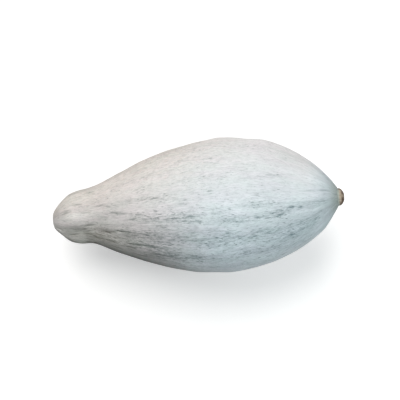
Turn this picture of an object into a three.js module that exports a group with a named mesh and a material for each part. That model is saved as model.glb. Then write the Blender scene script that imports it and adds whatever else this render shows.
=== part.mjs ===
// A long, pale grey kabocha squash with a knuckled neck, lying on its side, with its cut corky stem.
//
// Millimetres, +Z up. The fruit's axis leaves the blossom end of the neck, runs along +X and rises a
// little towards the stem, because the squash lies as its weight puts it. It rests on a small flat spot
// at Z = 0, and the origin is under the middle of its bounding box. Angles round the axis are in degrees
// from the top, positive to the front (-Y).

import * as THREE from "three";
import { mergeVertices } from "three/addons/utils/BufferGeometryUtils.js";

// ---- Driving dimensions ----

const FRUIT_LENGTH = 373.5; // blossom end to the seat of the stem, along the axis
const BELLY_RADIUS = 87.8;
const NECK_RADIUS = 34.7;
const SEAT_RADIUS = 12.2; // flat end of the fruit, which the stem stands on
const STEM_RADIUS = 11.4;
const STEM_LENGTH = 7.8;
const SEAT_GAP = 0.3;
const LIE_PITCH = 7; // degrees that the axis rises towards the stem
const FLAT_DEPTH = 1.5; // how far the underside is pressed in where it rests

// Half outline of the fruit, up to the rim of its flat seat: [distance along the axis, radius].
// The first three points are the blossom scar, and those up to 63 the knuckled neck.
const OUTLINE = [
  [0.8, 0],
  [0, 6],
  [1, 10.8],
  [6, 17.8],
  [14, 25.2],
  [23, 31.2],
  [35, NECK_RADIUS],
  [49, 37.2],
  [63, 41.7],
  [91, 54.4],
  [138, 72.4],
  [185, 83.7],
  [227, BELLY_RADIUS],
  [255, 85.5],
  [283, 80.1],
  [323, 61.7],
  [350, 42.2],
  [364, 26.1],
  [372, 14.5],
  [FRUIT_LENGTH, SEAT_RADIUS],
];

// Sideways bend of the axis: [distance along the axis, offset towards +Y].
const BEND = [
  [0, -5],
  [32, -2.8],
  [120, -1.4],
  [200, -0.6],
  [290, 1.4],
  [345, 0],
  [FRUIT_LENGTH, 0.6],
];

// Lengthwise grooves between the lobes: [angle, depth on the neck, depth on the belly, depth by the stem].
const GROOVES = [
  [3, 0.3, 0.4, 1.0],
  [23, 0.1, 0.4, 1.1],
  [45, 0.4, 0.5, 1.5],
  [68, 0.4, 0.4, 1.3],
  [89, 0.2, 0.4, 1.0],
  [108, 1.0, 0.3, 0.9],
  [128, 1.5, 0.5, 1.1],
  [148, 0.4, 0.3, 0.8],
  [169, 1.3, 0.4, 1.2],
  [191, 0.5, 0.4, 0.9],
  [213, 1.6, 0.4, 1.3],
  [236, 0.4, 0.3, 0.9],
  [258, 1.4, 0.5, 1.2],
  [280, 0.4, 0.3, 0.8],
  [302, 1.2, 0.4, 1.1],
  [324, 0.5, 0.3, 0.8],
  [344, 0.4, 0.4, 1.0],
];
const GROOVE_WIDTH = 7.5; // degrees from a groove's middle to a third of its depth
const NECK_END = [55, 125]; // along this stretch the neck's grooves fade to the belly's
const STEM_END = [255, 345]; // and along this one the belly's deepen towards the stem
const CALM_RADIUS = 24; // grooves and swells fade out inside this radius, at either end

// Knuckles, swells and dents: [distance along the axis, angle, half length, half width in degrees, height].
const SWELLS = [
  [38, 23, 16, 13, 2.1],
  [38, 50, 15, 9, -0.9],
  [31, 68, 10, 7, 0.9],
  [33, 80, 12, 18, 2.2],
  [9, 90, 6, 22, -1.4],
  [48, 63, 7, 9, -1.2],
  [64, 74, 14, 8, -1.2],
  [54, 108, 10, 18, -2.0],
  [44, -18, 15, 14, 0.7],
  [58, 150, 14, 18, -0.8],
  [30, 180, 12, 18, 1.5],
  [38, 213, 14, 16, -1.2],
  [34, 247, 13, 16, 1.8],
  [82, 285, 20, 18, -0.8],
  [118, 30, 34, 20, 0.7],
  [170, 245, 40, 24, 1.1],
  [300, 12, 32, 16, 0.6],
  [290, 225, 36, 22, 1.0],
  [42, 103, 14, 20, -0.8],
  [132, 103, 12, 18, -0.5],
  [182, 103, 12, 22, 0.7],
  [210, 103, 11, 22, -0.7],
  [275, 103, 10, 18, -0.6],
  [356, 103, 8, 24, 1.2],
  [101, -77, 12, 20, -0.5],
  [176, -77, 12, 20, -0.7],
  [222, -77, 10, 20, 1.0],
  [262, -77, 12, 20, -1.1],
  [318, -77, 18, 20, 0.8],
  [356, -77, 8, 24, -0.8],
  [58, 32, 7, 12, -1.0],
  [59, -3, 5, 8, -0.5],
  [76, 24, 11, 11, 0.7],
  [72, 50, 10, 9, 0.5],
  [17, 6, 7, 12, -0.5],
  [9, 44, 5, 9, -0.7],
  [36, -42, 8, 12, 0.5],
  [60, -48, 7, 14, -0.5],
  [78, -30, 10, 10, 0.4],
];

const SEGMENTS_ROUND = 90;
const ROWS_ALONG = 60;
const MERGE_DISTANCE = 1e-3;

// The stem is a short dry stub, cracked lengthwise, with a hollow in the middle of its rounded cut end.
// Half outline in shares of its radius and its length: [radius, distance along the stem].
const STEM_OUTLINE = [
  [0, 0],
  [1, 0],
  [1, 0.12],
  [0.98, 0.29],
  [0.91, 0.48],
  [0.8, 0.65],
  [0.66, 0.79],
  [0.52, 0.9],
  [0.38, 0.98],
  [0.3, 1],
  [0.22, 0.96],
  [0.14, 0.9],
  [0, 0.88],
];
const STEM_SEGMENTS = 60;
const CRACKS = [4, 31, 52, 84, 110, 139, 163, 188, 221, 247, 271, 303, 336]; // degrees round the stem
const CRACK_WIDTH = 4.2; // degrees
const CRACK_DEPTH = 0.55;
const CRACK_START = 1.5; // distance from the seat over which a crack deepens
const CRACK_REACH = [0.45, 0.85]; // shares of the radius between which it runs out on the cut end

// ---- Shared helpers ----

const { degToRad, radToDeg, euclideanModulo, lerp, smoothstep } = THREE.MathUtils;
const PITCH = degToRad(LIE_PITCH);

// Shortest turn from one angle to another, in degrees.
const turn = (from, to) => euclideanModulo(to - from + 180, 360) - 180;

const bell = (offset, width) => Math.exp(-((offset / width) ** 2));

// Value at x of the line that eases from each [x, value] pair to the next.
function easedAt(pairs, x) {
  const next = pairs.findIndex(([start]) => start > x);
  const end = next < 1 ? pairs.length - 1 : next;
  const [[x0, value0], [x1, value1]] = [pairs[end - 1], pairs[end]];
  return lerp(value0, value1, smoothstep(x, x0, x1));
}

// Lathe round +Y whose vertices are then moved by place(point, along, radius, angle). Its seam and its
// poles are closed, so that it is one solid.
function placedLathe(profile, segments, place) {
  const lathe = new THREE.LatheGeometry(profile, segments);
  const vertices = lathe.getAttribute("position");
  const point = new THREE.Vector3();
  for (let i = 0; i < vertices.count; i++) {
    point.fromBufferAttribute(vertices, i);
    place(point, point.y, Math.hypot(point.x, point.z), radToDeg(Math.atan2(point.x, point.z)));
    vertices.setXYZ(i, point.x, point.y, point.z);
  }
  lathe.deleteAttribute("normal");
  lathe.deleteAttribute("uv");
  const solid = mergeVertices(lathe, MERGE_DISTANCE);
  solid.computeVertexNormals();
  return solid;
}

function namedMesh(name, geometry, color, roughness) {
  const mesh = new THREE.Mesh(geometry, new THREE.MeshStandardMaterial({ color, roughness, metalness: 0 }));
  mesh.name = name;
  return mesh;
}

// ---- The fruit ----

// How far the skin stands out from the plain outline.
function relief(along, radius, angle) {
  const neck = 1 - smoothstep(along, ...NECK_END);
  const stem = smoothstep(along, ...STEM_END);
  const meanDepth = (GROOVE_WIDTH * Math.sqrt(Math.PI)) / 360; // share of its depth, over the whole turn
  let height = 0;
  for (const [middle, onNeck, onBelly, byStem] of GROOVES) {
    const depth = onNeck * neck + onBelly * (1 - neck - stem) + byStem * stem;
    height += depth * (meanDepth - bell(turn(middle, angle), GROOVE_WIDTH));
  }
  for (const [middle, swellAngle, halfLength, halfWidth, rise] of SWELLS) {
    height += rise * bell(along - middle, halfLength) * bell(turn(swellAngle, angle), halfWidth);
  }
  return height * smoothstep(radius, 0, CALM_RADIUS);
}

// Here the axis leaves the blossom end at (0, 0, 0), before the squash is lowered onto its flat spot.
function placeOnFruit(point, along, radius, angle) {
  const reach = radius + relief(along, radius, angle);
  const up = reach * Math.cos(degToRad(angle));
  const front = reach * Math.sin(degToRad(angle));
  point.x = along * Math.cos(PITCH) - up * Math.sin(PITCH);
  point.y = easedAt(BEND, along) - front;
  point.z = along * Math.sin(PITCH) + up * Math.cos(PITCH);
}

function fruitGeometry() {
  const points = OUTLINE.map(([along, radius]) => new THREE.Vector3(along, radius, 0));
  const rows = new THREE.CatmullRomCurve3(points).getSpacedPoints(ROWS_ALONG);
  const profile = rows.map(({ x, y }) => new THREE.Vector2(Math.max(y, 0), x));
  profile.push(new THREE.Vector2(0, FRUIT_LENGTH));
  return placedLathe(profile, SEGMENTS_ROUND, placeOnFruit);
}

// Lowers the fruit until its underside is pressed flat on Z = 0, and returns how far it was lowered.
function settle(geometry) {
  geometry.computeBoundingBox();
  const drop = geometry.boundingBox.min.z + FLAT_DEPTH;
  const vertices = geometry.getAttribute("position");
  for (let i = 0; i < vertices.count; i++) {
    vertices.setZ(i, Math.max(vertices.getZ(i) - drop, 0));
  }
  geometry.computeVertexNormals();
  return drop;
}

// ---- The stem ----

function placeOnStem(point, along, radius, angle) {
  const [inner, outer] = CRACK_REACH;
  const fromSeat = smoothstep(along, 0, CRACK_START);
  const fromMiddle = smoothstep(radius, inner * STEM_RADIUS, outer * STEM_RADIUS);
  const crack = CRACKS.reduce((sum, middle) => sum + bell(turn(middle, angle), CRACK_WIDTH), 0);
  const reach = radius - CRACK_DEPTH * crack * fromSeat * fromMiddle;
  point.x = reach * Math.sin(degToRad(angle));
  point.z = reach * Math.cos(degToRad(angle));
}

function stemGeometry(drop) {
  const profile = STEM_OUTLINE.map(
    ([radius, along]) => new THREE.Vector2(radius * STEM_RADIUS, along * STEM_LENGTH),
  );
  const axis = new THREE.Vector3(Math.cos(PITCH), 0, Math.sin(PITCH));
  const seat = axis.clone().multiplyScalar(FRUIT_LENGTH + SEAT_GAP);
  return placedLathe(profile, STEM_SEGMENTS, placeOnStem)
    .applyQuaternion(new THREE.Quaternion().setFromUnitVectors(new THREE.Vector3(0, 1, 0), axis))
    .translate(seat.x, easedAt(BEND, FRUIT_LENGTH), seat.z - drop);
}

// ---- The whole squash ----

const squash = new THREE.Group();
squash.name = "squash";

const skin = fruitGeometry();
const drop = settle(skin);
squash.add(namedMesh("fruit", skin, 0xc9d0cf, 0.62));
squash.add(namedMesh("stem", stemGeometry(drop), 0x8a7358, 0.9));

const middle = new THREE.Box3().setFromObject(squash, true).getCenter(new THREE.Vector3());
for (const piece of squash.children) piece.position.set(-middle.x, -middle.y, 0);

export default squash;
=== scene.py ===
"""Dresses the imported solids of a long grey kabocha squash, in a plain white studio.

The fruit and the stem repeat the formulas of the solids on finer meshes, and add the creases, dents and
waves that are too fine for the solids. Their sizes are in millimetres. Angles round the fruit are in
degrees from the top, positive to the front (-Y). The studio and the scene are in metres.
"""

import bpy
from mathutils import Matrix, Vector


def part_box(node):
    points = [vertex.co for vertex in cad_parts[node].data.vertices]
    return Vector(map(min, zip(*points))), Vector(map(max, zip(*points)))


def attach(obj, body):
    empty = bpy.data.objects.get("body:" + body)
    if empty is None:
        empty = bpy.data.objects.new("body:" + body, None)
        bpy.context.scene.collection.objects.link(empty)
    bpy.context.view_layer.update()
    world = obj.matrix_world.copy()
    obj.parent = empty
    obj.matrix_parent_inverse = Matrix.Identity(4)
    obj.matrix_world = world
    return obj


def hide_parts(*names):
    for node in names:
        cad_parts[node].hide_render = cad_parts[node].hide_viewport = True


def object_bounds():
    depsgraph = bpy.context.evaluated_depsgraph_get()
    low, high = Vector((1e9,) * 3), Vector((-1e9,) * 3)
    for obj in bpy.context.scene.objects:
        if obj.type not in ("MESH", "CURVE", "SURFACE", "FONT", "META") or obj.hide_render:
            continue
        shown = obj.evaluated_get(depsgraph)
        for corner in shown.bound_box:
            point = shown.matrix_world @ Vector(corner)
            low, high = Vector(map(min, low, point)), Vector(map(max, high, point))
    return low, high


bl_info = {
    "name": "Grey kabocha squash",
    "version": (1, 0, 0),
    "blender": (4, 5, 0),
    "location": "3D View > Sidebar > Squash",
    "description": "Builds the rind, the stem and the studio of a long grey kabocha squash",
    "category": "Add Mesh",
}

import math

import bmesh
import bpy
import numpy as np
from bpy.props import FloatProperty, FloatVectorProperty, IntProperty, PointerProperty
from mathutils import Vector, noise

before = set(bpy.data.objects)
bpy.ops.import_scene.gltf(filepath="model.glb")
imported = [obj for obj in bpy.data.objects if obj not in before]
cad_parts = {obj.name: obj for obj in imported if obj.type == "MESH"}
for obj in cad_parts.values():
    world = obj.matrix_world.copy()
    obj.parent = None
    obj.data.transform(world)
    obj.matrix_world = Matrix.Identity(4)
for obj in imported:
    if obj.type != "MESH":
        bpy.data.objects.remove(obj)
CAD_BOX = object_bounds()
MM = 0.001

# ---- The form of the fruit, as in the solid ----

FRUIT_LENGTH = 373.5
BELLY_RADIUS = 87.8
NECK_RADIUS = 34.7
SEAT_RADIUS = 12.2
LIE_PITCH = math.radians(7)

# Half outline of the fruit: (distance along the axis, radius).
OUTLINE = (
    (0.8, 0), (0, 6), (1, 10.8), (6, 17.8), (14, 25.2), (23, 31.2), (35, NECK_RADIUS),
    (49, 37.2), (63, 41.7), (91, 54.4), (138, 72.4), (185, 83.7), (227, BELLY_RADIUS),
    (255, 85.5), (283, 80.1), (323, 61.7), (350, 42.2), (364, 26.1), (372, 14.5),
    (FRUIT_LENGTH, SEAT_RADIUS),
)

# Sideways bend of the axis: (distance along the axis, offset towards +Y).
BEND = ((0, -5), (32, -2.8), (120, -1.4), (200, -0.6), (290, 1.4), (345, 0), (FRUIT_LENGTH, 0.6))

# Lengthwise grooves: (angle, depth on the neck, depth on the belly, depth by the stem).
GROOVES = (
    (3, 0.3, 0.4, 1.0), (23, 0.1, 0.4, 1.1), (45, 0.4, 0.5, 1.5), (68, 0.4, 0.4, 1.3),
    (89, 0.2, 0.4, 1.0), (108, 1.0, 0.3, 0.9), (128, 1.5, 0.5, 1.1), (148, 0.4, 0.3, 0.8),
    (169, 1.3, 0.4, 1.2), (191, 0.5, 0.4, 0.9), (213, 1.6, 0.4, 1.3), (236, 0.4, 0.3, 0.9),
    (258, 1.4, 0.5, 1.2), (280, 0.4, 0.3, 0.8), (302, 1.2, 0.4, 1.1), (324, 0.5, 0.3, 0.8),
    (344, 0.4, 0.4, 1.0),
)
GROOVE_WIDTH = 7.5
NECK_END = (55, 125)  # the neck passes into the belly over this stretch of the axis
STEM_END = (255, 345)  # and the belly into the stem end over this one
CALM_RADIUS = 24  # the relief dies away inside this radius

# Knuckles, swells and dents: (distance along the axis, angle, half length, half width, height).
SWELLS = (
    (38, 23, 16, 13, 2.1), (38, 50, 15, 9, -0.9), (31, 68, 10, 7, 0.9), (33, 80, 12, 18, 2.2),
    (9, 90, 6, 22, -1.4), (48, 63, 7, 9, -1.2), (64, 74, 14, 8, -1.2), (54, 108, 10, 18, -2.0),
    (44, -18, 15, 14, 0.7), (58, 150, 14, 18, -0.8), (30, 180, 12, 18, 1.5), (38, 213, 14, 16, -1.2),
    (34, 247, 13, 16, 1.8), (82, 285, 20, 18, -0.8), (118, 30, 34, 20, 0.7), (170, 245, 40, 24, 1.1),
    (300, 12, 32, 16, 0.6), (290, 225, 36, 22, 1.0), (42, 103, 14, 20, -0.8), (132, 103, 12, 18, -0.5),
    (182, 103, 12, 22, 0.7), (210, 103, 11, 22, -0.7), (275, 103, 10, 18, -0.6), (356, 103, 8, 24, 1.2),
    (101, -77, 12, 20, -0.5), (176, -77, 12, 20, -0.7), (222, -77, 10, 20, 1.0), (262, -77, 12, 20, -1.1),
    (318, -77, 18, 20, 0.8), (356, -77, 8, 24, -0.8), (58, 32, 7, 12, -1.0), (59, -3, 5, 8, -0.5),
    (76, 24, 11, 11, 0.7), (72, 50, 10, 9, 0.5), (17, 6, 7, 12, -0.5), (9, 44, 5, 9, -0.7),
    (36, -42, 8, 12, 0.5), (60, -48, 7, 14, -0.5), (78, -30, 10, 10, 0.4),
)

# ---- Skin that is too fine for the solid ----

FRUIT_SEGMENTS = 400
FRUIT_ROWS = 240
OUTLINE_STEPS = 40  # points on each span of the outline's curve
FINENESS = 0.5  # smaller values crowd the rows more closely on the thin ends
TIP_INSET = 0.05  # the blossom end starts this far inside the solid's
SKIN_MARGIN = 0.35  # the skin is drawn in this far, which keeps its waves inside the solid's box
BARE_RADIUS = 4  # inside this radius the skin has no waves, creases or dents

# Creases: (distance along and angle of one end, of the other end, depth).
CREASES = (
    (18, 1, 27, 1, 0.5), (29, -16, 42, -13, 0.5), (38, 6, 56, 6, 0.5), (62, -3, 76, -2, 0.5),
    (77, 0, 82, 3, 0.5), (83, 11, 106, 17, 0.6), (70, 18, 80, 17, 0.4), (46, 32, 60, 30, 0.5),
    (70, 40, 90, 37, 0.6), (90, 37, 113, 39, 0.7), (103, 54, 120, 53, 0.5), (120, 53, 137, 52, 0.7),
    (22, 57, 36, 55, 0.7), (56, 57, 70, 58, 0.7), (70, 58, 85, 57, 0.5), (90, 62, 112, 60, 0.6),
    (78, 71, 93, 70, 0.6), (132, 64, 152, 63, 0.6), (5, 51, 14, 48, 0.6), (45, 68, 56, 71, 0.6),
    (20, 76, 38, 79, 0.8), (38, 79, 62, 81, 1.1), (333, 1, 350, -2, 0.4), (350, -2, 365, -7, 0.5),
    (24, 118, 40, 122, 0.8), (52, 132, 70, 136, 0.7), (75, 112, 98, 116, 0.6), (20, 166, 38, 170, 0.8),
    (46, 188, 62, 190, 0.6), (80, 176, 104, 172, 0.6), (18, 210, 33, 214, 0.8), (55, 222, 74, 226, 0.7),
    (28, 256, 46, 259, 0.9), (60, 268, 76, 272, 0.5), (88, 246, 112, 241, 0.6), (22, 298, 36, 303, 0.7),
    (48, 318, 60, 320, 0.6), (340, 96, 362, 102, 0.5), (336, 188, 360, 181, 0.5), (342, 276, 364, 268, 0.5),
)
CREASE_WIDTH = 1.1
CREASE_TAPER = 0.45  # depth at the two ends, as a share of the depth in the middle

# Smooth waves: (length, width, seed).
SWAY = (16, 9, 31)
WRINKLE = (22, 7, 3)
LUMP = (40, 26, 11)
SWAY_ALONG = 2  # how far the sway shifts the creases along the fruit, and round it in degrees
SWAY_ROUND = 1
WRINKLE_HEIGHT = 0.08
NECK_WRINKLE_HEIGHT = 0.16  # added on the neck
LUMP_HEIGHT = 0.3

# Shallow dents: each of these is drawn at random between its two limits.
DENT_PLACE = (40, 360)
DENT_HALF_LENGTH = (4, 13)
DENT_HALF_WIDTH = (1.6, 3.6)
DENT_SHARE = (0.3, 1)  # of the deepest dent's depth

# ---- Where the rind shows and how the skin is toned, with painted light and shade ----

# Rows of dashes: (distance along and angle of one end, of the other end, half width, density).
DASH_ROWS = (
    (100, 50, 345, 52, 30, 0.17), (30, 38, 110, 46, 18, 0.14), (45, 50, 175, 66, 22, 0.26),
    (150, 14, 330, 10, 13.5, 0.04), (75, 0, 170, 2, 3.8, 0.17), (80, 11, 120, 17, 3.8, 0.19),
    (112, 17, 190, 20, 4.5, 0.23), (185, 21, 240, 19, 3.8, 0.19), (110, 22, 190, 25, 4.5, 0.15),
    (95, 37, 150, 40, 6, 0.23), (120, 39, 250, 40, 6, 0.2), (190, 47, 270, 43, 5, 0.15),
    (230, 26, 304, 27, 3, 0.29), (296, 26, 325, 21, 5.2, 0.38), (320, 21, 362, 17, 4.5, 0.27),
    (268, 47, 320, 51, 8, 0.2), (310, 51, 356, 45, 10.5, 0.33), (100, 53, 150, 53, 3.8, 0.19),
    (130, 64, 200, 63, 5.2, 0.27), (185, 64, 260, 61, 5, 0.2), (250, 62, 305, 65, 5, 0.18),
    (296, 70, 340, 80, 6, 0.22), (150, 78, 300, 84, 9, 0.12), (270, 17, 312, 14, 2.2, 0.19),
    (180, -12, 270, -14, 4.5, 0.06), (90, -27, 140, -26, 3, 0.12), (60, -12, 140, -14, 4.5, 0.09),
    (190, -30, 240, -28, 3, 0.07), (282, -11, 312, -15, 2.2, 0.15), (90, 110, 340, 104, 13.5, 0.12),
    (100, 150, 345, 146, 22, 0.22), (80, 138, 240, 134, 6, 0.27), (210, 150, 350, 160, 7.5, 0.31),
    (110, 172, 300, 168, 6, 0.19), (90, 190, 330, 196, 10.5, 0.06), (90, 228, 345, 224, 22, 0.22),
    (100, 212, 220, 216, 6, 0.27), (180, 226, 352, 232, 7.5, 0.31), (90, 246, 260, 240, 6, 0.23),
    (230, 250, 350, 262, 7.5, 0.23), (100, 280, 320, 276, 9, 0.07), (80, 304, 200, 300, 6, 0.12),
    (180, 310, 340, 316, 6, 0.09),
)
ROW_FADE = 8
DENSITY_BETWEEN_ROWS = 0.03

# Single dark marks: (distance along the axis, angle, half length, half width, how much shows).
MARKS = (
    (123, 16, 5, 1.0, 0.8), (112, 21, 4, 1.0, 0.8), (134, 24, 4, 0.9, 0.6), (145, 20, 3, 0.9, 0.6),
    (158, 22, 4, 0.9, 0.5), (170, 21.5, 6, 1.1, 0.8), (182, 24, 5, 1.1, 0.8), (200, 25, 4, 1.0, 0.8),
    (189, 20, 4, 1.0, 0.8), (216, 0, 3, 1.1, 0.8), (204, 6, 3, 1.0, 0.6), (184, 5.5, 3, 1.0, 0.7),
    (145, 0.5, 6, 1.0, 0.8), (154, 2, 3, 0.9, 0.6), (179, 9, 5, 0.9, 0.5), (119, 52.5, 9, 1.1, 0.9),
    (136, 52.5, 7, 1.0, 0.7), (274, 26.5, 4, 1.1, 0.7), (286, 28, 3, 1.0, 0.6), (293, 25, 3, 1.0, 0.6),
    (306, 26.5, 6, 1.1, 0.8), (316, 21, 5, 1.1, 0.8), (328, 22, 5, 1.0, 0.7), (235, 37, 5, 1.0, 0.7),
    (268, 44, 5, 1.1, 0.7), (276, 40, 4, 1.0, 0.6), (287, 42.5, 4, 1.0, 0.6), (260, 15, 4, 1.0, 0.5),
    (269, 15.5, 4, 1.0, 0.6), (10, 7, 1, 1.1, 0.5), (19, 20, 1.2, 1.0, 0.5), (22, -4, 3, 0.9, 0.5),
    (18, 39, 3, 1.0, 0.4), (157, 58.5, 9, 1.0, 0.6), (177, 39, 8, 1.0, 0.5), (108, 60, 6, 1.0, 0.7),
    (84, 78, 7, 1.0, 0.6), (76, 41, 9, 0.9, 0.6), (78, 57, 8, 0.9, 0.6), (56, 76, 6, 1.0, 0.6),
    (118, 73, 12, 1.0, 0.6), (132, 51, 8, 0.9, 0.6), (97, 48, 5, 0.8, 0.5), (147, 46, 5, 0.8, 0.5),
)

# Faint patches of the tone: (distance along the axis, angle, half length, half width, darkness). Most dark
# ones are painted shade along the lower and upper edges of the neck; some light ones are painted highlights
# on the neck's tip, its lobes and the upper shoulder; a few are stains, and the rest even out the tone.
PAINTED_LIGHT_SHADE_AND_STAIN_PATCHES = (
    (8, 52, 12, 22, -0.15), (20, 66, 10, 14, -0.15), (8, -20, 12, 45, 0.1), (30, -62, 30, 20, 0.12),
    (45, 38, 13, 10, 0.1), (56, 84, 20, 12, 0.12), (140, 66, 20, 6, 0.12), (225, 18, 60, 8, -0.06),
    (205, 54, 26, 9, -0.12), (290, -10, 55, 24, 0.07), (118, -39, 6, 5, 0.12), (178, 76, 30, 12, -0.2),
    (108, 54, 32, 9, -0.22), (78, 94, 36, 12, 0.18), (148, 94, 34, 12, 0.15), (9, 100, 15, 20, 0.45),
    (26, 55, 14, 9, 0.14), (315, 50, 26, 14, -0.1), (60, -8, 26, 16, 0.06), (22, 88, 12, 8, 0.2),
    (96, -54, 20, 26, 0.03), (330, 88, 28, 14, 0.14), (62, 94, 56, 15, 0.36), (60, -82, 80, 18, 0.25),
    (285, -64, 70, 20, -0.06), (320, 20, 14, 10, -0.12), (235, 50, 60, 14, -0.07), (16, 2, 26, 20, 0.06),
    (14, 90, 16, 16, 0.38), (36, 84, 8, 9, -0.3), (20, 54, 12, 8, 0.1), (56, 34, 56, 22, 0.09),
    (34, 9, 15, 7, -0.12), (0, 0, 7, 300, 0.14), (68, 12, 36, 14, 0.08), (16, 46, 14, 9, 0.08),
)

# Tones. A side is (middle angle, spread), a span is (first angle, last angle) of a slope, a place is
# (distance along the axis, half length), and a stretch is (start, end) along the axis of a slope.
# The warm tone is partly the neck's own colour and partly painted warm key light on the upper back side.
WARM_NECK_SIDE = (-50, 62)
WARM_NECK_STRETCH = (45, 140)
WARM_BACK_SIDE = (-60, 48)
WARM_BACK_STRETCH = (150, 290)
# The cool tone is partly the skin's own blue-green and partly painted blue fill light, on the front and
# round the stem.
COOL_FRONT_SIDE = (58, 78)
COOL_FRONT_STRETCH = (110, 230)
COOL_STEM_STRETCH = (330, 368)
COOL_STEM = 0.8
# Painted shade under the front of the neck, then darker skin on the front towards the stem and round it.
PAINTED_SHADE_NECK_SPAN = (52, 94)
PAINTED_SHADE_NECK_END_SPAN = (120, 175)
PAINTED_SHADE_NECK_PLACE = (108, 68)
DARKER_FRONT_SIDE = (46, 40)
DARKER_FRONT_STRETCH = (225, 322)
DARKER_FRONT = 0.42
DARKER_STEM_STRETCH = (342, 372)
DARKER_STEM = 0.36
# Under the front of the neck the skin is olive, partly its own tint and partly painted shade, darker and
# less blue.
OLIVE_SPAN = (10, 56)
OLIVE_END_SPAN = (110, 165)
OLIVE_PLACE = (52, 52)
SEAT_STRETCH = (360, 374)
SEAT_TONE = 0.75
SCAR_RADII = (5, 9)  # the blossom scar fades out between these radii


# ---- Shape helpers: arrays in millimetres and degrees ----

def smoothstep(x, low, high):
    """Eases from 0 at low to 1 at high."""
    share = np.clip((x - low) / (high - low), 0, 1)
    return share * share * (3 - 2 * share)


def bell(offset, width):
    """1 where the offset is nothing, falling to about a third at the width."""
    return np.exp(-((offset / width) ** 2))


def turn(start, angle):
    """Shortest turn from one angle to another."""
    return (angle - start + 180) % 360 - 180


def on_side(angle, side):
    """How near each angle is to the middle of a side, from 0 to 1."""
    middle, spread = side
    return bell(turn(middle, angle), spread)


def between_spans(angle, first, last):
    """Rises from 0 to 1 over the first span of angles and falls again over the last."""
    return smoothstep(turn(0, angle), *first) * (1 - smoothstep(turn(0, angle), *last))


def near_place(along, place):
    """How near each point is to a place on the axis, from 0 to 1."""
    middle, half_length = place
    return bell(along - middle, half_length)


def spots(along, angle, table):
    """Sum of soft spots: (distance along the axis, angle, half length, half width in degrees, height)."""
    total = np.zeros_like(along)
    for middle, place, half_length, half_width, height in table:
        total += height * bell(along - middle, half_length) * bell(turn(place, angle), half_width)
    return total


def joined(*shares):
    """Share that several overlapping shares cover between them."""
    left = 1
    for share in shares:
        left = left * (1 - share)
    return 1 - left


def eased_at(pairs, x):
    """Value at x of the line that eases from each (x, value) pair to the next."""
    starts, values = np.array(pairs, float).T
    end = np.clip(np.searchsorted(starts, x, side="right"), 1, len(starts) - 1)
    share = smoothstep(x, starts[end - 1], starts[end])
    return values[end - 1] + (values[end] - values[end - 1]) * share


def curve_through(points):
    """Points along the centripetal Catmull-Rom curve through the given ones."""
    inner = np.array(points, float)
    whole = np.vstack([2 * inner[0] - inner[1], inner, 2 * inner[-1] - inner[-2]])
    gaps = np.sum(np.diff(whole, axis=0) ** 2, axis=1) ** 0.25
    share = np.linspace(0, 1, OUTLINE_STEPS, endpoint=False)[:, None]
    spans = []
    for i in range(len(inner) - 1):
        before, start, end, after = whole[i:i + 4]
        d0, d1, d2 = gaps[i:i + 3]
        leave = ((start - before) / d0 - (end - before) / (d0 + d1) + (end - start) / d1) * d1
        reach = ((end - start) / d1 - (after - start) / (d1 + d2) + (after - end) / d2) * d1
        cubic = 2 * start - 2 * end + leave + reach
        square = -3 * start + 3 * end - 2 * leave - reach
        spans.append(start + leave * share + square * share ** 2 + cubic * share ** 3)
    return np.vstack([*spans, inner[-1:]])


def ball_mesh(name, segments, rows):
    """A closed ball with its poles on Z. Its vertices are moved into place afterwards."""
    ball = bmesh.new()
    bmesh.ops.create_uvsphere(ball, u_segments=segments, v_segments=rows, radius=1)
    # The operator lists the faces differently on each run, so they are put in one order.
    ball.verts.index_update()
    ordered = sorted(ball.faces, key=lambda face: sorted(vert.index for vert in face.verts))
    for index, face in enumerate(ordered):
        face.index = index
        face.smooth = True
    ball.faces.sort()
    mesh = bpy.data.meshes.new(name)
    ball.to_mesh(mesh)
    ball.free()
    return mesh


def round_the_axis(mesh):
    """Share of the way from the lower pole to the upper one, and angle, of each vertex of a ball."""
    flat = np.empty(len(mesh.vertices) * 3, np.float32)
    mesh.vertices.foreach_get("co", flat)
    x, y, z = flat.reshape(-1, 3).astype(float).T
    return 0.5 + np.arcsin(np.clip(z, -1, 1)) / math.pi, np.degrees(np.arctan2(-x, y))


def walked_share(line, fineness=1):
    """Share of the way along a line at each of its points, where a finer step counts for more."""
    steps = np.hypot(*np.diff(line, axis=0).T)
    walked = np.concatenate([[0], np.cumsum(steps * fineness)])
    return walked / walked[-1]


def round_tilted_axis(along, reach, angle):
    """Places, apart from their origin, of points at a distance along and out from the tilted axis."""
    around = np.radians(angle)
    up, front = reach * np.cos(around), reach * np.sin(around)
    x = along * math.cos(LIE_PITCH) - up * math.sin(LIE_PITCH)
    z = along * math.sin(LIE_PITCH) + up * math.cos(LIE_PITCH)
    return x, -front, z


def move_vertices(mesh, x, y, z):
    """Moves the vertices of a mesh to places that are given in millimetres."""
    mesh.vertices.foreach_set("co", (np.column_stack([x, y, z]) * MM).astype(np.float32).ravel())


def add_attribute(mesh, name, values):
    """Stores a number or a vector for each vertex, for the materials."""
    kind, field = ("FLOAT", "value") if values.ndim == 1 else ("FLOAT_VECTOR", "vector")
    attribute = mesh.attributes.new(name, kind, "POINT")
    attribute.data.foreach_set(field, values.astype(np.float32).ravel())


def add_skin_place(mesh, along, angle, radius):
    """Stores the place of each vertex on a cylinder of that radius, which the marks are laid out on."""
    around = np.radians(angle)
    place = np.column_stack([radius * np.sin(around), radius * np.cos(around), along])
    add_attribute(mesh, "skin_place", place)


def add_piece(name, mesh, node, material):
    """Puts a finished mesh in the scene in place of a CAD node."""
    mesh.update()
    mesh.materials.append(material)
    piece = bpy.data.objects.new(name, mesh)
    bpy.context.collection.objects.link(piece)
    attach(piece, "root")
    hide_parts(node)


# ---- The fruit ----

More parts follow.
